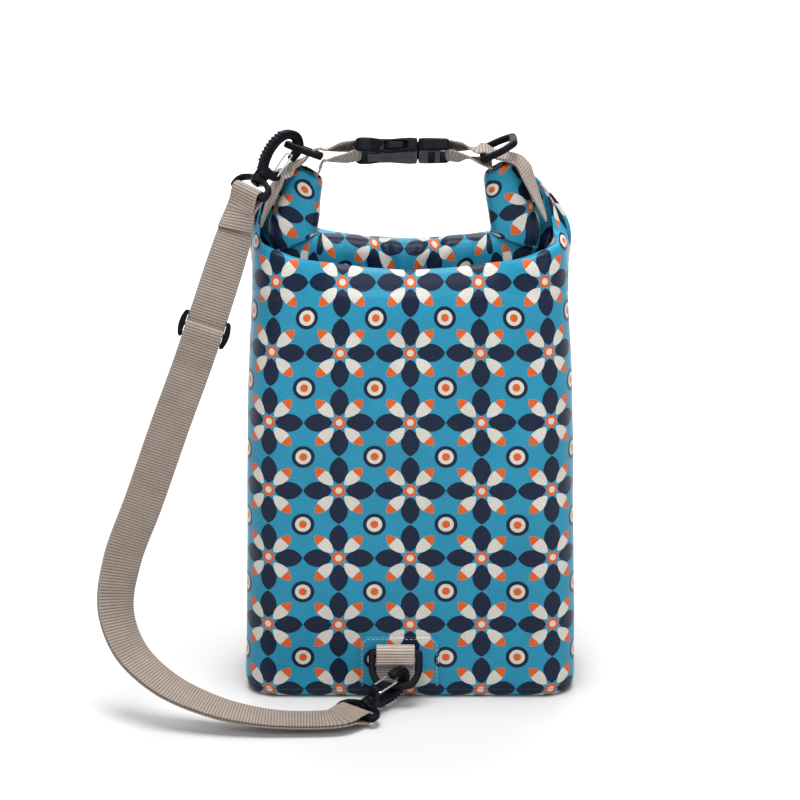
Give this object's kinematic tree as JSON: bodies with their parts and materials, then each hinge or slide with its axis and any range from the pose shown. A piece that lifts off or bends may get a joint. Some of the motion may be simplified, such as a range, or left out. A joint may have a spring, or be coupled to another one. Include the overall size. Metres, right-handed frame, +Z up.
{
  "type": "roll-top backpack",
  "caption": "Small roll-top dry bag in printed coated canvas with a side-release buckle and a clip-on webbing sling strap.",
  "frame": {"origin": "centre of the flat underside of the base panel", "axes": "+X to the right as seen from the printed front, +Y towards the back, +Z up"},
  "size_m": [0.3104, 0.1779, 0.3732],
  "materials": {
    "canvas": "satin",
    "webbing": "matte",
    "plastic": "satin",
    "steel": "bright"
  },
  "bodies": {
    "bag": {"bag_shell": "canvas", "base_panel": "canvas", "front_patch": "canvas", "lower_tab": "webbing", "lower_d_ring": "plastic", "lower_swivel_eye": "plastic", "strap_webbing": "webbing", "strap_slider": "plastic", "upper_swivel_eye": "plastic", "left_d_ring": "plastic", "left_top_webbing": "webbing", "right_top_webbing": "webbing", "buckle_socket": "plastic", "buckle_prong": "plastic"},
    "upper_hook": {"upper_hook": "plastic"},
    "upper_gate": {"upper_gate": "steel"},
    "lower_hook": {"lower_hook": "plastic"},
    "lower_gate": {"lower_gate": "steel"},
    "right_ring": {"right_d_ring": "plastic"}
  },
  "joints": [
    {"name": "upper_swivel", "type": "hinge", "parent": "bag", "child": "upper_hook", "pos_m": [-0.09312, -0.02843, 0.34742], "axis": [0.6012, 0.4008, 0.6913], "range_deg": [-20, 6]},
    {"name": "upper_gate_pivot", "type": "hinge", "parent": "upper_hook", "child": "upper_gate", "pos_m": [-0.08657, -0.0249, 0.34459], "axis": [0.4965, -0.8652, 0.0698], "range_deg": [0, 26], "stiffness_Nm_per_rad": 0.02},
    {"name": "lower_swivel", "type": "hinge", "parent": "bag", "child": "lower_hook", "pos_m": [-0.02487, -0.08494, 0.01016], "axis": [0.6734, 0.6935, 0.2563], "range_deg": [-8, 20]},
    {"name": "lower_gate_pivot", "type": "hinge", "parent": "lower_hook", "child": "lower_gate", "pos_m": [-0.02258, -0.08508, 0.01778], "axis": [-0.7393, 0.6316, 0.2334], "range_deg": [0, 12], "stiffness_Nm_per_rad": 0.02},
    {"name": "right_ring_pivot", "type": "hinge", "parent": "bag", "child": "right_ring", "pos_m": [0.0465, -0.017, 0.3568], "axis": [0, -1, 0], "range_deg": [-10, 100]}
  ]
}
